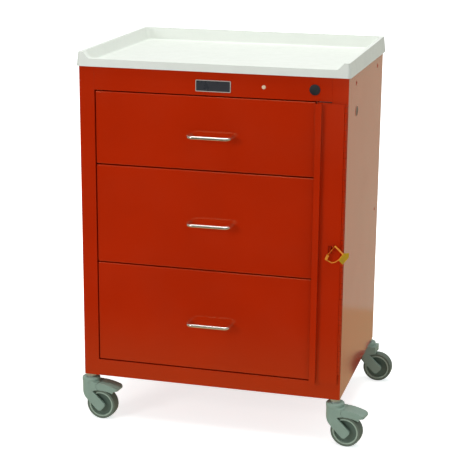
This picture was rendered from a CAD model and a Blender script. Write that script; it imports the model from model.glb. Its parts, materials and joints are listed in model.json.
import json
import math

import bmesh
import bpy
from mathutils import Matrix, Vector


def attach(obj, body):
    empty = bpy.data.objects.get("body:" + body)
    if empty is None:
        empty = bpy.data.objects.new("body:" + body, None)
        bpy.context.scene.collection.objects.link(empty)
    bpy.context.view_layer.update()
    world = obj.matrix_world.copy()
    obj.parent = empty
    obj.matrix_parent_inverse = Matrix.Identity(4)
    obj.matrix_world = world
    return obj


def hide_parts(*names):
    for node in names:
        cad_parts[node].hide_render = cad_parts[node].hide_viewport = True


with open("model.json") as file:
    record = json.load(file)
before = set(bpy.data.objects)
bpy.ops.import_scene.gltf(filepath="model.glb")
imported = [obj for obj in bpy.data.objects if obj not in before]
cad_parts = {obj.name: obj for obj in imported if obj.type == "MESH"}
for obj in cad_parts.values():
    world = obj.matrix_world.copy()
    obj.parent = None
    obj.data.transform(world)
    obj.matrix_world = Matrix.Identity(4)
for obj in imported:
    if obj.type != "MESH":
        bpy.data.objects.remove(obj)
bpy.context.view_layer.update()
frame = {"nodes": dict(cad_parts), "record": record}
NODES = frame["nodes"]
BODIES = frame["record"]["behaviour"]["bodies"]
BODY_OF = {node: body for body, nodes in BODIES.items() for node in nodes}
SLOT_OF = {part["node"]: part["material_slot"] for part in frame["record"]["subparts"]}
MM = 0.001
CORNERS = ("fl", "fr", "bl", "br")
BRAKED = ("fl", "fr")
# lower front left corner of the cabinet
LEFT, FRONT, BASE = -345.9 * MM, -224.5 * MM, 113.0 * MM
CAB_W = 635.0 * MM
EVEN_NORMALS_ANGLE = 35.0            # degrees; a sharper edge keeps its crease


# ------------------------------------------------------------------ materials
MIX_A, MIX_B, MIX_COLOR_OUT = 6, 7, 2      # colour sockets of the mix node


class Look:
    """A node material built step by step; every value can be a number or a node output."""

    def __init__(self, name):
        self.material = bpy.data.materials.new(name)
        self.material.use_nodes = True
        self.tree = self.material.node_tree
        self.tree.nodes.clear()
        self.shader = self.add("ShaderNodeBsdfPrincipled")
        output = self.add("ShaderNodeOutputMaterial")
        self.tree.links.new(self.shader.outputs[0], output.inputs["Surface"])
        self.place = self.add("ShaderNodeTexCoord").outputs["Object"]

    def add(self, kind):
        return self.tree.nodes.new(kind)

    def plug(self, socket, value):
        if isinstance(value, bpy.types.NodeSocket):
            self.tree.links.new(value, socket)
        elif isinstance(value, (tuple, list)) and len(value) == 3 and socket.type == "RGBA":
            socket.default_value = (*value, 1.0)
        else:
            socket.default_value = value

    def set(self, **values):
        for key, value in values.items():
            self.plug(self.shader.inputs[key.replace("_", " ")], value)

    def stretched(self, x, y, z):
        node = self.add("ShaderNodeMapping")
        node.inputs["Scale"].default_value = (x, y, z)
        self.tree.links.new(self.place, node.inputs["Vector"])
        return node.outputs[0]

    def noise(self, scale, detail=2.0, roughness=0.5, place=None):
        node = self.add("ShaderNodeTexNoise")
        self.tree.links.new(place or self.place, node.inputs["Vector"])
        node.inputs["Scale"].default_value = scale
        node.inputs["Detail"].default_value = detail
        node.inputs["Roughness"].default_value = roughness
        return node.outputs["Fac"]

    def steps(self, value, low, high, out_low=0.0, out_high=1.0):
        node = self.add("ShaderNodeMapRange")
        node.interpolation_type = "SMOOTHSTEP"
        for index, number in enumerate((low, high, out_low, out_high), start=1):
            self.plug(node.inputs[index], number)
        self.plug(node.inputs["Value"], value)
        return node.outputs[0]

    def math(self, operation, a, b):
        node = self.add("ShaderNodeMath")
        node.operation = operation
        self.plug(node.inputs[0], a)
        self.plug(node.inputs[1], b)
        return node.outputs[0]

    def mix(self, amount, a, b):
        node = self.add("ShaderNodeMix")
        node.data_type = "RGBA"
        self.plug(node.inputs[0], amount)
        self.plug(node.inputs[MIX_A], a)
        self.plug(node.inputs[MIX_B], b)
        return node.outputs[MIX_COLOR_OUT]

    def bump(self, height, strength, distance):
        node = self.add("ShaderNodeBump")
        node.inputs["Strength"].default_value = strength
        node.inputs["Distance"].default_value = distance
        self.plug(node.inputs["Height"], height)
        return node.outputs[0]

    def soft_edge(self, radius):
        node = self.add("ShaderNodeBevel")
        node.samples = 4
        node.inputs["Radius"].default_value = radius
        return node.outputs[0]

    def edge_mask(self, radius):
        """About 1 on an edge and 0 on a flat face."""
        geometry = self.add("ShaderNodeNewGeometry")
        dot = self.add("ShaderNodeVectorMath")
        dot.operation = "DOT_PRODUCT"
        self.tree.links.new(self.soft_edge(radius), dot.inputs[0])
        self.tree.links.new(geometry.outputs["Normal"], dot.inputs[1])
        return self.steps(dot.outputs["Value"], 0.99, 0.85)


def enamel(name, base, worn):
    """Glossy sprayed enamel with a faint orange peel and thin dust haze."""
    look = Look(name)
    cloud = look.noise(5.0, 3.0)
    tint = look.mix(look.steps(cloud, 0.35, 0.65), base, [c * 0.95 for c in base])
    haze = look.steps(look.noise(9.0, 3.0, 0.5), 0.3, 0.8)
    patches = look.steps(look.noise(60.0, 3.0), 0.52, 0.7)
    rubbed = look.math("MULTIPLY", look.edge_mask(0.9 * MM), patches)
    color = look.mix(look.math("MULTIPLY", rubbed, 0.3), tint, worn)
    peel = look.bump(look.noise(420.0, 1.0), 0.01, 0.03 * MM)
    look.set(
        Base_Color=color,
        Roughness=look.steps(haze, 0.0, 1.0, 0.13, 0.17),
        IOR=1.5,
        Specular_Tint=(1.0, 0.97, 0.50),
        Normal=peel,
    )
    return look.material


def plastic(name, base, roughness, grain, dirt=0.93):
    """Moulded plastic: even colour, fine grain, slightly duller where dust settles."""
    look = Look(name)
    cloud = look.noise(22.0, 4.0, 0.6)
    color = look.mix(look.steps(cloud, 0.3, 0.75), base, [c * dirt for c in base])
    fine = look.noise(grain, 2.0)
    look.set(
        Base_Color=color,
        Roughness=look.steps(look.noise(70.0, 3.0), 0.3, 0.7, roughness * 0.85, roughness * 1.2),
        IOR=1.48,
        Normal=look.bump(fine, 0.08, 0.12 * MM),
    )
    return look.material


def seal_plastic():
    """Amber plastic of the seal's loop; the flag right of it is olive yellow."""
    look = Look("seal_plastic")
    split = look.add("ShaderNodeSeparateXYZ")
    look.plug(split.inputs[0], look.place)
    flag_x, flag_z = LEFT + 637.4 * MM, BASE + 363.6 * MM    # top left corner of the flag
    across = look.math("MULTIPLY", look.math("SUBTRACT", split.outputs["X"], flag_x), 0.86)
    drop = look.math("MULTIPLY", look.math("SUBTRACT", split.outputs["Z"], flag_z), 0.50)
    beyond = look.math("SUBTRACT", across, drop)
    flag = look.steps(beyond, 0.2 * MM, 0.7 * MM)
    edge = look.steps(look.noise(160.0, 3.0), 0.35, 0.7)
    olive = look.mix(edge, (0.50, 0.30, 0.004), (0.36, 0.235, 0.003))
    amber = look.mix(edge, (0.80, 0.30, 0.018), (0.70, 0.235, 0.012))
    look.set(
        Base_Color=look.mix(flag, amber, olive),
        Roughness=look.steps(edge, 0.0, 1.0, 0.26, 0.36),
        IOR=1.48,
        Subsurface_Weight=0.15,
        Subsurface_Radius=(0.004, 0.002, 0.001),
        Normal=look.bump(look.noise(900.0, 2.0), 0.05, 0.1 * MM),
    )
    return look.material


def metal(name, base, roughness, streak_axis=None):
    """Bare or plated metal with fine streaks."""
    look = Look(name)
    scale = [9.0, 9.0, 9.0] if streak_axis is None else [180.0] * 3
    if streak_axis is not None:
        scale[streak_axis] = 4.0
    streaks = look.noise(3.0, 5.0, 0.65, look.stretched(*scale))
    look.set(
        Base_Color=look.mix(look.steps(streaks, 0.3, 0.7), base, [c * 0.86 for c in base]),
        Metallic=1.0,
        Roughness=look.steps(streaks, 0.25, 0.75, roughness * 0.7, roughness * 1.4),
        Normal=look.bump(streaks, 0.05, 0.05 * MM),
    )
    return look.material


RED = (0.485, 0.0190, 0.0006)
LOOKS = {
    "red_enamel": enamel("red_enamel", RED, (0.75, 0.22, 0.12)),
    "zinc_steel": metal("zinc_steel", (0.66, 0.67, 0.68), 0.34, 1),
    "chrome": metal("chrome", (0.86, 0.82, 0.77), 0.20),
    "white_abs": plastic("white_abs", (0.73, 0.77, 0.71), 0.36, 900.0, 0.97),
    "caster_nylon": plastic("caster_nylon", (0.27, 0.385, 0.315), 0.45, 1200.0),
    "hub_nylon": plastic("hub_nylon", (0.11, 0.165, 0.130), 0.5, 1200.0),
    "grey_rubber": plastic("grey_rubber", (0.15, 0.195, 0.150), 0.68, 1500.0, 0.8),
    "black_plastic": plastic("black_plastic", (0.014, 0.018, 0.021), 0.4, 900.0),
    "ivory_plastic": plastic("ivory_plastic", (0.80, 0.62, 0.42), 0.35, 900.0),
    "dark_plate": plastic("dark_plate", (0.030, 0.034, 0.042), 0.3, 1400.0),
    "seal_plastic": seal_plastic(),
}
HUB_RIM = plastic("hub_rim", (0.40, 0.52, 0.42), 0.42, 1200.0)
PLATE_EDGE = plastic("plate_edge", (0.46, 0.42, 0.37), 0.25, 1400.0)
PIN_STEEL = metal("pin_steel", (0.10, 0.07, 0.06), 0.45, 2)
SIDE_PLUG = plastic("side_plug", (0.058, 0.026, 0.018), 0.38, 900.0)
PLUG_RING = plastic("plug_ring", (0.45, 0.26, 0.17), 0.35, 900.0)


# ------------------------------------------------------------------ pieces
LATHE_STEPS = 96


def finish_piece(name, mesh, nodes, look=None, smooth_angle=EVEN_NORMALS_ANGLE):
    """Make an object from a mesh; it rides with, and stands for, the CAD nodes."""
    piece = bpy.data.objects.new(name, mesh)
    bpy.context.scene.collection.objects.link(piece)
    for polygon in mesh.polygons:
        polygon.use_smooth = True
    mesh.set_sharp_from_angle(angle=math.radians(smooth_angle))
    weighted = piece.modifiers.new("even_normals", "WEIGHTED_NORMAL")
    weighted.keep_sharp = True
    mesh.materials.clear()
    mesh.materials.append(look or LOOKS[SLOT_OF[nodes[0]]])
    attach(piece, BODY_OF[nodes[0]])
    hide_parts(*nodes)
    return piece


def refine(node, bevel, segments=2, sharp=30.0):
    """A copy of a CAD node with its sharp edges rounded."""
    bm = bmesh.new()
    bm.from_mesh(NODES[node].data)
    bmesh.ops.remove_doubles(bm, verts=bm.verts, dist=0.002 * MM)
    bmesh.ops.dissolve_limit(bm, angle_limit=math.radians(0.5), verts=bm.verts, edges=bm.edges)
    edges = [e for e in bm.edges if e.is_manifold and e.calc_face_angle() > math.radians(sharp)]
    bmesh.ops.bevel(
        bm,
        geom=edges,
        offset=bevel,
        segments=segments,
        profile=0.5,
        affect="EDGES",
        clamp_overlap=True,
    )
    mesh = bpy.data.meshes.new(node + "_shape")
    bm.to_mesh(mesh)
    bm.free()
    return finish_piece(node + "_shape", mesh, [node])


def moulded(node, voxel, rounds, shrink=0.0):
    """A copy of a CAD node with softly rounded, moulded edges, its skin drawn in by shrink."""
    mesh = NODES[node].data.copy()
    rough = bpy.data.objects.new(node + "_rough", mesh)
    bpy.context.scene.collection.objects.link(rough)
    remesh = rough.modifiers.new("voxels", "REMESH")
    remesh.mode = "VOXEL"
    remesh.voxel_size = voxel
    smooth = rough.modifiers.new("soften", "SMOOTH")
    smooth.factor = 0.5
    smooth.iterations = rounds
    if shrink:
        skin = rough.modifiers.new("clearance", "DISPLACE")
        skin.mid_level = 0.0
        skin.strength = -shrink
    depsgraph = bpy.context.evaluated_depsgraph_get()
    soft = bpy.data.meshes.new_from_object(rough.evaluated_get(depsgraph))
    bpy.data.objects.remove(rough)
    soft.name = node + "_moulded"
    return finish_piece(node + "_moulded", soft, [node], smooth_angle=180.0)


def lathe(name, profile, centre, axis, nodes, look=None):
    """Turn a closed outline of (radius, height along the axis) round an axis."""
    turn = Vector((0, 0, 1)).rotation_difference(Vector(axis)).to_matrix()
    bm = bmesh.new()
    rings = []
    for step in range(LATHE_STEPS):
        angle = 2 * math.pi * step / LATHE_STEPS
        ring = []
        for radius, height in profile:
            local = Vector((radius * math.cos(angle), radius * math.sin(angle), height))
            ring.append(bm.verts.new(Vector(centre) + turn @ local))
        rings.append(ring)
    count = len(profile)
    for step, ring in enumerate(rings):
        following = rings[(step + 1) % LATHE_STEPS]
        for index in range(count):
            after = (index + 1) % count
            bm.faces.new((ring[index], following[index], following[after], ring[after]))
    bmesh.ops.remove_doubles(bm, verts=bm.verts, dist=0.001 * MM)
    bmesh.ops.recalc_face_normals(bm, faces=bm.faces)
    mesh = bpy.data.meshes.new(name)
    bm.to_mesh(mesh)
    bm.free()
    return finish_piece(name, mesh, nodes, look)


def box_between(bm, low, high):
    """Add a block between two opposite corners."""
    middle = [(a + b) / 2 for a, b in zip(low, high)]
    size = [b - a for a, b in zip(low, high)]
    place = Matrix.Translation(middle) @ Matrix.Diagonal((*size, 1.0))
    bmesh.ops.create_cube(bm, size=1.0, matrix=place)


def arc_points(centre, radius, start, end, count):
    """Points (radius, height) along an arc, angles in degrees."""
    points = []
    for index in range(count + 1):
        angle = math.radians(start + (end - start) * index / count)
        points.append((centre[0] + radius * math.cos(angle), centre[1] + radius * math.sin(angle)))
    return points


SHEET_EDGE, FRAME_EDGE, TRAY_EDGE = 0.45 * MM, 1.0 * MM, 3.0 * MM
CASTER_VOXEL, SEAL_VOXEL, SOFTEN_ROUNDS = 0.6 * MM, 0.3 * MM, 3
PEDAL_CLEARANCE = 0.2 * MM          # keeps a pressed pedal off its fork

for node in ("cabinet_shell", "header_panel", "lock_bar", "lock_staple"):
    refine(node, SHEET_EDGE)
refine("front_frame", FRAME_EDGE, 3)
refine("tray_top", TRAY_EDGE, 4, 20.0)
for corner in CORNERS:
    moulded(f"caster_fork_{corner}", CASTER_VOXEL, SOFTEN_ROUNDS)
    if corner in BRAKED:
        moulded(f"brake_pedal_{corner}", CASTER_VOXEL, SOFTEN_ROUNDS, PEDAL_CLEARANCE)
moulded("seal_body", SEAL_VOXEL, SOFTEN_ROUNDS)

# ---- wheels: crowned tyre on a hub with a raised rim and a recessed disc
AXLE_HEIGHT = 37.5 * MM
TYRE_OUTER, TYRE_SHOULDER, TYRE_HALF = 37.5 * MM, 35.4 * MM, 12.5 * MM
HUB_OUTER, BEAD_W, DISC_HALF = 31.5 * MM, 3.4 * MM, 7.0 * MM
BOSS_R, BORE_R = 9.0 * MM, 4.05 * MM
RIM_HALF, BOSS_HALF = 12.6 * MM, 13.2 * MM
CROWN_ARC = 58.0                    # degrees of a circle that the tread's crown follows
JOINTS = frame["record"]["behaviour"]["joints"]


def mirrored(half):
    """Close a half outline, given from the middle outwards, with its mirror image."""
    return half + [(radius, -height) for radius, height in reversed(half)]


for corner in CORNERS:
    hub_node, tyre_node = f"wheel_hub_{corner}", f"wheel_tyre_{corner}"
    corners = [Vector(v) for v in NODES[tyre_node].bound_box]
    centre = sum(corners, Vector()) / 8
    centre.z = AXLE_HEIGHT
    axis = next(j["axis"] for j in JOINTS if j["name"] == f"wheel_{corner}_spin")
    crown = arc_points((0.0, 0.0), 1.0, 0.0, CROWN_ARC, 7)
    tread = [
        (TYRE_SHOULDER + (TYRE_OUTER - TYRE_SHOULDER) * c, TYRE_HALF * s / crown[-1][1])
        for c, s in crown
    ]
    tyre_half = tread + [(HUB_OUTER + 1.2 * MM, TYRE_HALF), (HUB_OUTER, TYRE_HALF - 0.8 * MM)]
    lathe(tyre_node + "_shape", mirrored(tyre_half), centre, axis, [tyre_node])
    bead_half = [
        (HUB_OUTER, 0.0),
        (HUB_OUTER, 12.0 * MM),
        (HUB_OUTER - 0.8 * MM, RIM_HALF),
        (HUB_OUTER - BEAD_W + 0.6 * MM, RIM_HALF),
        (HUB_OUTER - BEAD_W, 12.0 * MM),
        (HUB_OUTER - BEAD_W - 0.4 * MM, 0.0),
    ]
    lathe(hub_node + "_rim", mirrored(bead_half), centre, axis, [hub_node], HUB_RIM)
    disc_half = [
        (HUB_OUTER - BEAD_W + 0.2 * MM, 0.0),
        (HUB_OUTER - BEAD_W + 0.2 * MM, 6.6 * MM),
        (HUB_OUTER - BEAD_W - 6.0 * MM, DISC_HALF - 1.4 * MM),
        (BOSS_R + 2.0 * MM, DISC_HALF - 1.8 * MM),
        (BOSS_R, DISC_HALF),
        (BOSS_R - 0.6 * MM, BOSS_HALF),
        (BORE_R, BOSS_HALF),
        (BORE_R, 0.0),
    ]
    lathe(hub_node + "_disc", mirrored(disc_half), centre, axis, [hub_node])

# ---- nameplate: bright border round a dark, blank field
PLATE_W, PLATE_H, PLATE_T = 83.0 * MM, 26.6 * MM, 1.5 * MM
PLATE_BORDER, FIELD_SUNK = 1.7 * MM, 0.4 * MM
plate_x, plate_z = LEFT + 323.5 * MM, BASE + 726.0 * MM


def rounded_rectangle(width, height, radius, steps=5):
    """Corner points of a rounded rectangle about its middle."""
    outline = []
    for corner_x, corner_y, start in ((1, 1, 0), (-1, 1, 90), (-1, -1, 180), (1, -1, 270)):
        middle = (corner_x * (width / 2 - radius), corner_y * (height / 2 - radius))
        outline += arc_points(middle, radius, start, start + 90, steps)
    return outline


def plate_piece(name, outline, hole, front, back, look):
    """Flat piece on the header between two depths, with an optional hole."""
    bm = bmesh.new()
    loops = []
    for points in (outline, hole):
        for y in (front, back) if points else ():
            loops.append([bm.verts.new((plate_x + x, y, plate_z + z)) for x, z in points])
    count = len(outline)
    for pair in range(0, len(loops), 2):
        for index in range(count):
            after = (index + 1) % count
            near, far = loops[pair], loops[pair + 1]
            bm.faces.new((near[index], near[after], far[after], far[index]))
    if hole:
        for level in (0, 1):
            outer, inner = loops[level], loops[level + 2]
            for index in range(count):
                after = (index + 1) % count
                bm.faces.new((outer[index], outer[after], inner[after], inner[index]))
    else:
        bm.faces.new(loops[0])
        bm.faces.new(loops[1])
    bmesh.ops.recalc_face_normals(bm, faces=bm.faces)
    mesh = bpy.data.meshes.new(name)
    bm.to_mesh(mesh)
    bm.free()
    return finish_piece(name, mesh, ["nameplate"], look)


plate_outline = rounded_rectangle(PLATE_W, PLATE_H, 2.5 * MM)
field_outline = rounded_rectangle(
    PLATE_W - 2 * PLATE_BORDER, PLATE_H - 2 * PLATE_BORDER, 1.5 * MM
)
plate_face = FRONT - PLATE_T
field_face = plate_face + FIELD_SUNK
plate_piece("nameplate_border", plate_outline, field_outline, plate_face, FRONT, PLATE_EDGE)
plate_piece("nameplate_field", field_outline, None, field_face, FRONT, LOOKS["dark_plate"])

# ---- round plugs with a domed face
PLUG_R, PLUG_FLANGE, PLUG_DEPTH = 10.5 * MM, 12.3 * MM, 4.0 * MM


def plug_profile(flange, body, rise, dome):
    """Outline of a snap-in plug: body behind the sheet, flange and dome in front."""
    return [
        (0.0, -PLUG_DEPTH),
        (body, -PLUG_DEPTH),
        (body, 0.0),
        (flange, 0.0),
        (flange, rise * 0.5),
        (flange - 0.6 * MM, rise),
        (flange * 0.6, rise + dome * 0.8),
        (0.0, rise + dome),
    ]


lock_plug = (LEFT + 558.5 * MM, FRONT, BASE + 729.0 * MM)
lock_outline = plug_profile(PLUG_FLANGE, PLUG_R, 1.6 * MM, 0.5 * MM)
lathe("lock_plug", lock_outline, lock_plug, (0, -1, 0), ["hole_plugs"])
side_plug = (LEFT + CAB_W, FRONT + 108.6 * MM, BASE + 668.0 * MM)
side_outline = plug_profile(PLUG_FLANGE - 1.3 * MM, PLUG_R, 0.9 * MM, -0.4 * MM)
lathe("side_plug", side_outline, side_plug, (1, 0, 0), ["hole_plugs"], SIDE_PLUG)
ring_outline = [
    (PLUG_FLANGE - 1.4 * MM, 0.0),
    (PLUG_FLANGE - 1.4 * MM, 1.1 * MM),
    (PLUG_FLANGE - 0.5 * MM, 1.1 * MM),
    (PLUG_FLANGE, 0.4 * MM),
    (PLUG_FLANGE, 0.0),
]
lathe("side_plug_ring", ring_outline, side_plug, (1, 0, 0), ["hole_plugs"], PLUG_RING)

# ---- continuous hinge with short knuckles
HINGE_X, HINGE_Y = LEFT + CAB_W - 4.0 * MM, FRONT - 3.6 * MM
HINGE_Z0, HINGE_Z1 = BASE + 65.5 * MM, BASE + 700.0 * MM
KNUCKLE_R, KNUCKLE_PAIRS, KNUCKLE_GAP = 3.0 * MM, 50, 0.9 * MM
LEAF_T, LEAF_L = 1.2 * MM, HINGE_X - 15.0 * MM
PANEL_BACK, PANEL_R = FRONT - 3.0 * MM, HINGE_X - 3.4 * MM
knuckle_pitch = (HINGE_Z1 - HINGE_Z0) / (2 * KNUCKLE_PAIRS)


def hinge_leaf(node, first, leaf_low, leaf_high, root_low, root_high):
    """One leaf of the hinge: its flat strip, and every second knuckle with its root."""
    bm = bmesh.new()
    box_between(bm, leaf_low, leaf_high)
    for index in range(first, 2 * KNUCKLE_PAIRS, 2):
        low = HINGE_Z0 + index * knuckle_pitch + (KNUCKLE_GAP if first else 0.0)
        high = HINGE_Z0 + (index + 1) * knuckle_pitch - 0.15 * MM
        box_between(bm, (*root_low, low), (*root_high, high))
        middle = Matrix.Translation((HINGE_X, HINGE_Y, (low + high) / 2))
        bmesh.ops.create_cone(
            bm,
            cap_ends=True,
            segments=28,
            radius1=KNUCKLE_R,
            radius2=KNUCKLE_R,
            depth=high - low,
            matrix=middle,
        )
    mesh = bpy.data.meshes.new(node + "_shape")
    bm.to_mesh(mesh)
    bm.free()
    return finish_piece(node + "_shape", mesh, [node])


hinge_leaf(
    "hinge_leaf_fixed",
    0,
    (LEAF_L, FRONT - LEAF_T, HINGE_Z0),
    (HINGE_X - 2.7 * MM, FRONT, HINGE_Z1),
    (HINGE_X - 2.7 * MM, FRONT - 1.8 * MM),
    (HINGE_X, FRONT),
)
hinge_leaf(
    "hinge_leaf_moving",
    1,
    (LEAF_L, PANEL_BACK, HINGE_Z0),
    (PANEL_R, PANEL_BACK + LEAF_T, HINGE_Z1),
    (PANEL_R, PANEL_BACK),
    (HINGE_X - 2.2 * MM, PANEL_BACK + LEAF_T),
)

own_look = {"hinge_pin": PIN_STEEL, "accessory_nuts": LOOKS["red_enamel"]}
for node, cad in NODES.items():
    if not cad.hide_render:
        cad.data.materials.clear()
        cad.data.materials.append(own_look.get(node, LOOKS[SLOT_OF[node]]))


# ------------------------------------------------------------------ stage
# floor colours that only mirror-like reflections see
FLOOR_IN_FRONT, FLOOR_NEAR = (0.012, 0.006, 0.001), (0.55, 0.48, 0.27)
FLOOR_BEHIND = (0.60, 0.60, 0.44)


def studio_floor():
    """White floor for the camera; glossy paint mirrors a tinted one that fades out in front."""
    bpy.ops.mesh.primitive_plane_add(size=30.0, location=(0.0, 6.0, 0.0))
    plane = bpy.context.object
    plane.name = "studio_floor"
    look = Look("studio_floor")
    look.set(Base_Color=(0.82, 0.82, 0.81), Roughness=0.9)
    place = look.add("ShaderNodeNewGeometry").outputs["Position"]
    split = look.add("ShaderNodeSeparateXYZ")
    look.plug(split.inputs[0], place)
    path = look.add("ShaderNodeLightPath")
    x, y = split.outputs["X"], split.outputs["Y"]
    reach = look.math("ADD", look.math("MULTIPLY", x, x), look.math("MULTIPLY", y, y))
    far_white = look.steps(reach, 0.10, 1.3, 0.70, 1.2)
    seen = look.add("ShaderNodeEmission")
    look.plug(seen.inputs["Color"], (0.95, 1.0, 1.0))
    look.plug(seen.inputs["Strength"], far_white)
    glow = look.add("ShaderNodeAddShader")
    look.tree.links.new(look.shader.outputs[0], glow.inputs[0])
    look.tree.links.new(seen.outputs[0], glow.inputs[1])
    mirrored_front = look.steps(y, FRONT - 0.95, FRONT - 0.15, 0.0, 1.0)
    near = look.mix(mirrored_front, FLOOR_IN_FRONT, FLOOR_NEAR)
    behind = look.steps(y, 0.78, 0.86)
    reflected = look.add("ShaderNodeEmission")
    look.plug(reflected.inputs["Color"], look.mix(behind, near, FLOOR_BEHIND))
    pick_seen = look.add("ShaderNodeMixShader")
    look.plug(pick_seen.inputs[0], path.outputs["Is Camera Ray"])
    look.tree.links.new(look.shader.outputs[0], pick_seen.inputs[1])
    look.tree.links.new(glow.outputs[0], pick_seen.inputs[2])
    pick = look.add("ShaderNodeMixShader")
    look.plug(pick.inputs[0], path.outputs["Is Glossy Ray"])
    look.tree.links.new(pick_seen.outputs[0], pick.inputs[1])
    look.tree.links.new(reflected.outputs[0], pick.inputs[2])
    output = next(n for n in look.tree.nodes if n.bl_idname == "ShaderNodeOutputMaterial")
    look.tree.links.new(pick.outputs[0], output.inputs["Surface"])
    plane.data.materials.append(look.material)


def area_light(name, location, target, size, power, color=(1.0, 1.0, 1.0)):
    data = bpy.data.lights.new(name, "AREA")
    data.shape = "RECTANGLE"
    data.size, data.size_y = size
    data.energy = power
    data.color = color
    light = bpy.data.objects.new(name, data)
    light.location = location
    direction = Vector(target) - Vector(location)
    light.rotation_euler = direction.to_track_quat("-Z", "Y").to_euler()
    bpy.context.scene.collection.objects.link(light)


studio_floor()
area_light("overhead_softbox", (0.1, -0.2, 2.9), (0.0, 0.1, 0.6), (2.0, 2.0), 46.0)
area_light("key_left", (-2.3, -3.6, 1.9), (0.0, -0.2, 0.4), (1.1, 1.1), 44.0)
area_light("front_fill", (0.7, -3.2, 0.7), (0.0, -0.2, 0.2), (2.0, 1.2), 5.0)

world = bpy.data.worlds.new("studio_world")
bpy.context.scene.world = world
world.use_nodes = True
tree = world.node_tree
tree.nodes.clear()
background = tree.nodes.new("ShaderNodeBackground")
output = tree.nodes.new("ShaderNodeOutputWorld")
tree.links.new(background.outputs[0], output.inputs["Surface"])
# bright behind and to the sides, dark towards the camera's own side of the room
coords = tree.nodes.new("ShaderNodeTexCoord")
split = tree.nodes.new("ShaderNodeSeparateXYZ")
tree.links.new(coords.outputs["Generated"], split.inputs[0])
fade = tree.nodes.new("ShaderNodeMapRange")
# where the fade starts and ends, then its strength at both ends
for index, value in enumerate((-0.45, 0.35, 0.42, 0.75), start=1):
    fade.inputs[index].default_value = value
tree.links.new(split.outputs["Y"], fade.inputs[0])
path = tree.nodes.new("ShaderNodeLightPath")
pick = tree.nodes.new("ShaderNodeMix")
pick.inputs[3].default_value = 1.0
tree.links.new(path.outputs["Is Camera Ray"], pick.inputs[0])
tree.links.new(fade.outputs[0], pick.inputs[2])
tree.links.new(pick.outputs[0], background.inputs["Strength"])


# ------------------------------------------------------------------ camera
AZIMUTH, ELEVATION, ROLL = math.radians(14.86), math.radians(15.0), math.radians(0.525)
DISTANCE = 3.2016
TARGET = Vector((LEFT + 377.9 * MM, FRONT, 494.4 * MM))
SENSOR_MM, LENS_MM = 36.0, 105.763404

forward = Vector((
    -math.sin(AZIMUTH) * math.cos(ELEVATION),
    math.cos(AZIMUTH) * math.cos(ELEVATION),
    -math.sin(ELEVATION),
))
level_right = forward.cross(Vector((0.0, 0.0, 1.0))).normalized()
level_up = level_right.cross(forward)
right = level_right * math.cos(ROLL) + level_up * math.sin(ROLL)
up = level_up * math.cos(ROLL) - level_right * math.sin(ROLL)

camera_data = bpy.data.cameras.new("photo_camera")
camera_data.sensor_width = SENSOR_MM
camera_data.lens = LENS_MM
camera = bpy.data.objects.new("photo_camera", camera_data)
camera.matrix_world = Matrix.Translation(TARGET - forward * DISTANCE) @ Matrix((
    (right.x, up.x, -forward.x),
    (right.y, up.y, -forward.y),
    (right.z, up.z, -forward.z),
)).to_4x4()
bpy.context.scene.collection.objects.link(camera)
bpy.context.scene.camera = camera
bpy.context.scene.view_settings.view_transform = "Standard"
